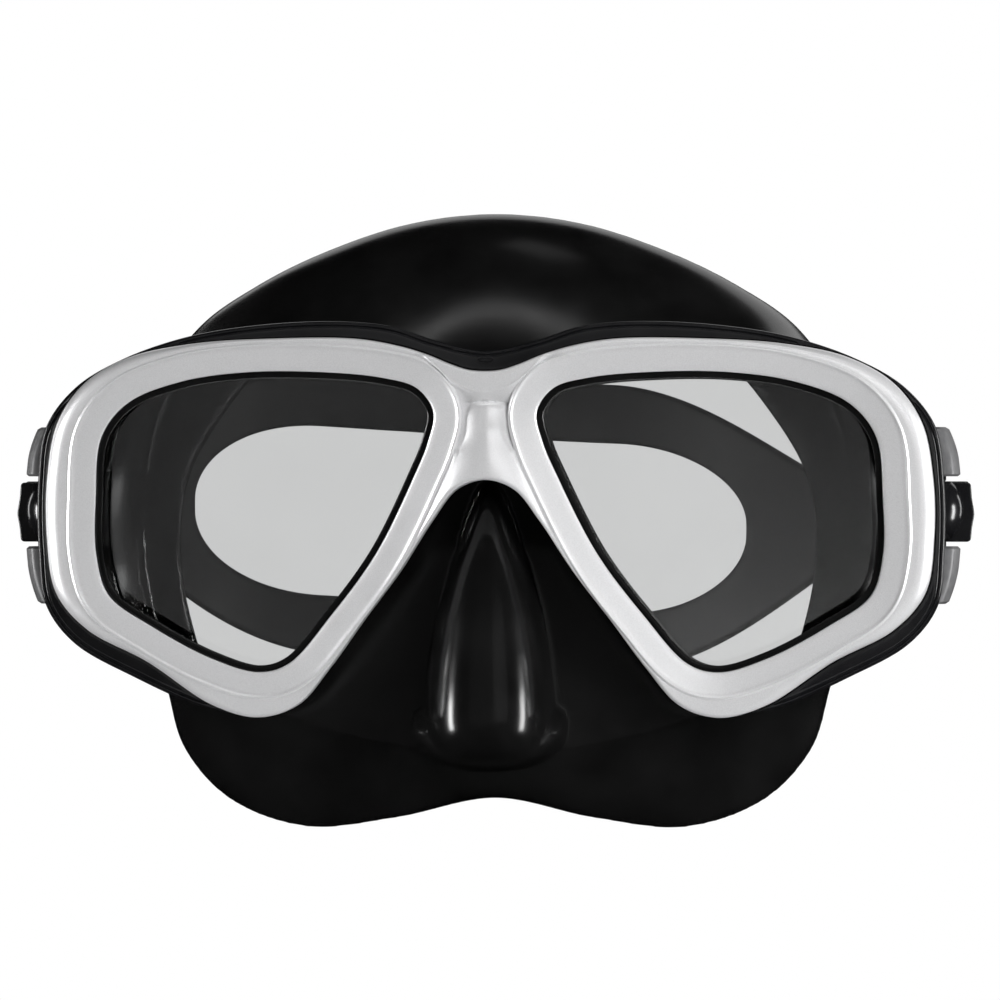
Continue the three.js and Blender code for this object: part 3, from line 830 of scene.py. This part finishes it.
def strap_line():
    """Centreline of the right half seen from above: (x, y) and how far round the rear loop."""
    turn_radius = ROLLER_R + 0.3 + STRAP_THICK / 2
    inner, outer = ROLLER[0] - turn_radius, ROLLER[0] + turn_radius
    lying = inner + STRAP_THICK + 0.8
    tail = np.array([
        (lying, 44), (lying, 36), (lying, 30), (lying + 0.7, 26), ((lying + outer) / 2, 20),
        (outer - 0.7, 15),
    ])
    arc = np.linspace(0, -math.pi, 19)
    bend = np.stack([ROLLER[0] + turn_radius * np.cos(arc), ROLLER[1] + turn_radius * np.sin(arc)], 1)
    side = np.stack([np.full(30, inner), np.linspace(12, STRAP_STRAIGHT_END, 31)[:-1]], axis=1)
    front = spaced(np.vstack([tail, bend[:-1]]), 0.8)
    plain = np.vstack([front, bend[-1:], side])
    hole = STRAP_HOLE_END - STRAP_HOLE_ROUND + STRAP_HOLE_ROUND * np.sin(np.linspace(0, math.pi / 2, 25))
    across = np.concatenate([np.linspace(0, hole[0], 26)[:-1], hole])
    loop_angle = np.concatenate([
        np.linspace(0, math.acos(STRAP_HOLE_END / inner), 26)[:-1], np.arccos(across[::-1] / inner),
    ])
    y = STRAP_STRAIGHT_END + (STRAP_REAR_Y - STRAP_STRAIGHT_END) * np.sin(loop_angle)
    loop = np.stack([inner * np.cos(loop_angle), y], axis=1)
    loop[-1, 0] = 0
    line = np.vstack([plain, loop])
    round_share = np.concatenate([np.zeros(len(plain)), loop_angle / (math.pi / 2)])
    return line, round_share


def strap_stations():
    line, share = strap_line()
    line = np.vstack([line, (line * (-1, 1))[-2::-1]])
    share = np.concatenate([share, share[-2::-1]])
    ahead = np.gradient(line, axis=0)
    ahead /= np.linalg.norm(ahead, axis=1)[:, None]
    normal = np.stack([ahead[:, 1], -ahead[:, 0]], axis=1)
    return line, share, normal


def strap_section(low, high, low_round, high_round):
    """A closed section of one strap arm, (out, height), rounded at its two edges."""
    half = STRAP_THICK / 2
    turn = np.linspace(-math.pi / 2, math.pi / 2, 9)
    upper = [(-half * math.sin(t), high - high_round * (1 - math.cos(t))) for t in turn]
    lower = [(half * math.sin(t), low + low_round * (1 - math.cos(t))) for t in turn]
    levels = np.linspace(low + low_round, high - high_round, 9)[1:-1]
    down = [(-half, h) for h in levels[::-1]]
    up = [(half, h) for h in levels]
    return np.array(upper + down + lower + up)


def strap_shell(first, last):
    """The strap between two stations: an upper and a lower arm that meet where there is no slot."""
    line, share, normal = strap_stations()
    arms = {1: [], -1: []}
    slots = []
    for k in range(first, last + 1):
        x, y = line[k]
        wide = smoothstep(share[k], 0.14, 0.76)
        edge = lerp(STRAP_TAIL_HALF, STRAP_REAR_HALF, wide)
        along = (abs(x) - STRAP_HOLE_END + STRAP_HOLE_ROUND) / STRAP_HOLE_ROUND
        slot = 0.0
        if share[k] > 0.3 and abs(x) < STRAP_HOLE_END:
            slot = STRAP_HOLE_HALF * math.sqrt(max(0, 1 - max(0, along) ** 2))
        slots.append(slot)
        section = strap_section(slot, edge, min(0.9, slot), 0.9)
        back = np.clip((y - STRAP_STRAIGHT_END) / (STRAP_REAR_Y - STRAP_STRAIGHT_END), 0, 1)
        lean = STRAP_LEAN * math.sin(back * math.pi / 2)
        for way in (1, -1):
            out, height = section[:, 0], section[:, 1] * way
            arms[way].append(np.stack([
                x + normal[k, 0] * out - lean,
                y + normal[k, 1] * out,
                height - (STRAP_SAG * x + STRAP_DROP) * back,
            ], axis=-1))
    shells = []
    for way, rows in arms.items():
        points, faces = grid_shell(rows, close_columns=True)
        count = len(rows[0])
        meets = np.repeat(np.array(slots) == 0, count) & np.tile(section[:, 1] == slots[-1], len(rows))
        faces = [face for face in faces if not all(meets[k] for k in face)]
        for start in (0, len(points) - count):
            faces.append(list(range(start, start + count)))
        shells.append((points, faces))
    return joined(*shells)


def head_strap():
    line = strap_stations()[0]
    last = len(line) - 1
    split = int(np.argmax(line[: last // 2, 1] > STRAP_FIXED_Y))
    parts = (("strap_rear", split, last - split), ("strap_band_right", 0, split),
             ("strap_band_left", last - split, last))
    for name, first, end in parts:
        body = "root" if name == "strap_rear" else None
        piece = make_piece(
            name, strap_shell(first, end), STRAP_SILICONE, body, ["head_strap"]
        )
        if body is None:
            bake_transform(piece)


head_strap()


# ---------------------------------------------------------------- buckle pieces, right side

def knuckle():
    levels = KNUCKLE_HALF * np.linspace(-1, 1, 25)
    profile = [(4.1, -KNUCKLE_HALF)]
    profile += [(math.sqrt(7.05**2 - z * z) - 0.65, z) for z in levels]
    profile += [(4.1, KNUCKLE_HALF)]
    return lathe(profile, *PIVOT, 56)


def buckle_body():
    block = rounded_polygon([(74, -3), (80.9, -6.2), (81.2, 4.4), (74, 4.4)], 0.8)
    cheek = rounded_polygon(
        [(74, 3), (81.8, 3), (82, 11), (80.8, 14.8), (78, 16.2), (75.4, 15.2), (74, 12)], 2.4
    )
    rib = rounded_polygon([(80, -2.6), (85.6, -2.6), (86.25, 0.8), (85.6, 3.6), (80, 4.3)], 0.9)
    guard = rounded_polygon(
        [(79, -5.8), (86.6, -5.8), (86.8, -3.3), (87.3, -0.7), (86.8, 2.1), (86.6, 5), (79, 5)], 0.8
    )
    shells = [knuckle(), rounded_slab(block, -CHEEK_OUT, CHEEK_OUT, 0.6)]
    shells.append(rounded_slab(guard, -5.3, -3.6, 0.35, axis="y"))
    for way in (1, -1):
        for outline, near, far in ((cheek, KNUCKLE_HALF, CHEEK_OUT), (rib, 3.6, KNUCKLE_HALF)):
            shells.append(rounded_slab(outline, *sorted((way * near, way * far)), 0.4))
    return joined(*shells)


def pin(x, y, radius, low, high):
    edge = radius * 0.3
    profile = [(radius - edge, low), (radius, low + edge), (radius, high - edge), (radius - edge, high)]
    return lathe(profile, x, y)


def strap_roller():
    half = KNUCKLE_HALF - 0.3
    profile = [(1.08, -half), (2.3, -half), (ROLLER_R, -half + 0.3)]
    profile += [(ROLLER_R - 0.12 * (1 - t * t), half * 0.9 * t) for t in np.linspace(-1, 1, 9)]
    profile += [(ROLLER_R, half - 0.3), (2.3, half), (1.08, half)]
    turn = np.linspace(0, 2 * math.pi, 41)[:-1]
    rows = [
        np.stack([ROLLER[0] + r * np.cos(turn), ROLLER[1] + r * np.sin(turn), np.full(40, z)], axis=-1)
        for r, z in profile
    ]
    return grid_shell(rows, close_rows=True, close_columns=True)


def release_lever():
    """A domed thumb tab with three grip ridges, its hub and its tooth on the strap."""
    side = [(84.9, -1.5), (85.7, -2.2), (86.2, -1.6), (86.45, 0.4), (86.3, 2.4), (86.15, 3.2),
            (86.35, 3.7), (86.1, 4.4), (86.3, 4.9), (86.0, 5.6), (86.2, 6.1), (85.9, 6.8),
            (86.0, 9.4), (85.6, 10.4), (84.8, 10.8), (84.2, 10.2), (84.3, 8.6), (84.9, 7.6),
            (84.7, 3)]
    tab, faces = rounded_slab(rounded_polygon(side, 0.35, 3), -3.3, 3.3, 0.4, steps=8)
    crown = 0.35 * (1 - (tab[:, 2] / 3.3) ** 2)
    tab[:, 0] += crown * smoothstep(tab[:, 0], 84.8, 86)
    tab = (tab, faces)
    hub = lathe([(1.2, -3.3), (1.6, -3.0), (1.6, 3.0), (1.2, 3.3)], *LEVER)
    web = rounded_polygon([(82.6, 0.2), (85.2, 0.2), (85.2, 2.2), (82.6, 2.2)], 0.3)
    return joined(tab, hub, rounded_slab(web, -3, 3, 0.3))


def lever_spring():
    """Four turns of fine wire behind the lever's nose."""
    turns, length, radius, wire = 4, 2.5, 0.6, 0.17
    t = np.linspace(0, 1, 161)
    angle = 2 * math.pi * turns * t
    around = np.linspace(0, 2 * math.pi, 13)[:-1]
    rows = []
    for share, a in zip(t, angle):
        out = np.array([0, math.cos(a), math.sin(a)])
        centre = np.array([82.1 + length * share, -1.4, 0]) + out * radius
        rows.append([centre + wire * (math.cos(b) * out + math.sin(b) * np.array([1, 0, 0]))
                     for b in around])
    return tube_shell(rows)


def strap_keeper():
    """A soft loop round the two layers of strap."""
    rows = []
    section = [(t, w) for t, w in rounded_polygon([(0, 29), (1.15, 29), (1.15, 34), (0, 34)], 0.45)]
    loop = rounded_polygon([(73.7, -5.1), (79.2, -5.1), (79.2, 5.1), (73.7, 5.1)], 0.8, 6)
    normals = outward_normals(loop)
    for out, y in section:
        plan = loop + normals * out
        rows.append(np.stack([plan[:, 0], np.full(len(plan), y), plan[:, 1]], axis=-1))
    return grid_shell(rows, close_rows=True, close_columns=True)


SIDE_PIECES = [
    ("buckle_block", buckle_body(), PLASTIC, "black_plastic", "buckle_{}", "buckle_body"),
    ("swivel_pin", pin(*PIVOT, 1.3, -14, 14.6), STEEL, "steel", "root", "buckle_pin"),
    ("turning_roller", strap_roller(), PLASTIC, "black_plastic", "roller_{}", "strap_roller"),
    ("roller_axle", pin(*ROLLER, 1.0, -7.2, 7.2), STEEL, "steel", "buckle_{}", "roller_pin"),
    ("thumb_lever", release_lever(), PLASTIC, "black_plastic", "lever_{}", "release_lever"),
    ("lever_axle", pin(*LEVER, 0.7, -5.2, 5.2), STEEL, "steel", "buckle_{}", "lever_pin"),
    ("return_spring", lever_spring(), STEEL, "steel", None, "lever_spring"),
    ("tail_keeper", strap_keeper(), STRAP_SILICONE, "black_silicone", "keeper_{}", "strap_keeper"),
]
for name, shell, material, finish, body, node in SIDE_PIECES:
    for word in ("right", "left"):
        side_shell = shell if word == "right" else mirrored(shell)
        rides = body and body.format(word)
        piece = make_piece(f"{name}_{word}", side_shell, material, rides, [f"{node}_{word}"])
        if body is None:
            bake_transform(piece)


# ---------------------------------------------------------------- stage, light and camera

def pale_floor():
    material, tree, shader = start_material("floor_paper", (0.9, 0.9, 0.9), 0, 0.8)
    tree.links.new(
        ramp(tree, noise(tree, 6, 2), (0.89, 0.89, 0.89), (0.92, 0.92, 0.92)),
        shader.inputs["Base Color"],
    )
    shader.inputs["Emission Color"].default_value = (1, 1, 1, 1)
    shader.inputs["Emission Strength"].default_value = 0.4
    turn = np.linspace(0, 2 * math.pi, 97)[:-1]
    points = [(2.4 * math.cos(t), 2.4 * math.sin(t), -0.4) for t in turn]
    mesh = bpy.data.meshes.new("floor")
    mesh.from_pydata(points, [], [list(range(len(points)))])
    mesh.materials.append(material)
    floor = bpy.data.objects.new("floor", mesh)
    bpy.context.scene.collection.objects.link(floor)
    floor.visible_glossy = False


def soft_box(name, place, aim, wide, high, power):
    data = bpy.data.lights.new(name, "AREA")
    data.shape = "RECTANGLE"
    data.size = wide
    data.size_y = high
    data.energy = power
    lamp = bpy.data.objects.new(name, data)
    lamp.location = place
    lamp.rotation_euler = (Vector(aim) - Vector(place)).to_track_quat("-Z", "Y").to_euler()
    bpy.context.scene.collection.objects.link(lamp)
    return lamp


def studio():
    """White surroundings for the camera and through the glass, dim ones in reflections."""
    world = bpy.data.worlds.new("studio")
    bpy.context.scene.world = world
    world.use_nodes = True
    tree = world.node_tree
    background = tree.nodes["Background"]
    background.inputs["Color"].default_value = (1, 1, 1, 1)
    path = tree.nodes.new("ShaderNodeLightPath")

    def math_node(operation, *values):
        node = tree.nodes.new("ShaderNodeMath")
        node.operation = operation
        for slot, value in enumerate(values):
            if isinstance(value, float):
                node.inputs[slot].default_value = value
            else:
                tree.links.new(value, node.inputs[slot])
        return node.outputs[0]

    bounces = math_node("ADD", path.outputs["Glossy Depth"], path.outputs["Diffuse Depth"])
    straight = math_node("LESS_THAN", bounces, 0.5)
    through = math_node("MULTIPLY", path.outputs["Is Transmission Ray"], straight)
    seen = math_node("MAXIMUM", path.outputs["Is Camera Ray"], through)
    level = math_node("MULTIPLY_ADD", path.outputs["Is Diffuse Ray"], 0.22, seen)
    tree.links.new(level, background.inputs["Strength"])

    aim = (0, -0.03, 0)
    soft_box("strip_left", (-1.05, -0.14, -0.08), aim, 0.2, 0.5, 8)
    soft_box("strip_right", (1.05, 0.0, -0.08), aim, 0.2, 0.5, 6)
    soft_box("overhead", (0.05, -0.42, 0.85), aim, 1.1, 0.07, 0.7)
    soft_box("top_spot", (0.1, 0.1, 0.9), aim, 0.2, 0.14, 0.04)
    soft_box("front_wall", (0, -2.6, 0.5), aim, 3.2, 2.0, 1.3)
    soft_box("right_wall", (1.15, -1.7, 0.45), aim, 1.3, 1.3, 1.1)
    soft_box("back_box", (0.3, 2.4, 1.2), aim, 2.4, 1.2, 6)
    soft_box("back_left", (-1.3, 1.1, 0.15), aim, 0.25, 0.8, 2)
    soft_box("back_right", (1.3, 1.1, 0.15), aim, 0.25, 0.8, 2)
    fill = soft_box("side_fill", (1.0, -1.2, 0.45), aim, 1.0, 0.8, 40)
    fill.visible_glossy = False


def camera():
    data = bpy.data.cameras.new("camera")
    data.lens = 400
    data.sensor_width = 36
    data.clip_start = 0.05
    data.clip_end = 20
    shot = bpy.data.objects.new("camera", data)
    target = Vector((2.16, -28, 1.8)) * MM
    yaw = math.radians(3)
    shot.location = target + 2.0 * Vector((math.sin(yaw), -math.cos(yaw), 0))
    shot.rotation_euler = (target - shot.location).to_track_quat("-Z", "Y").to_euler()
    bpy.context.scene.collection.objects.link(shot)
    bpy.context.scene.camera = shot


pale_floor()
studio()
camera()
bpy.context.scene.view_settings.view_transform = "Standard"
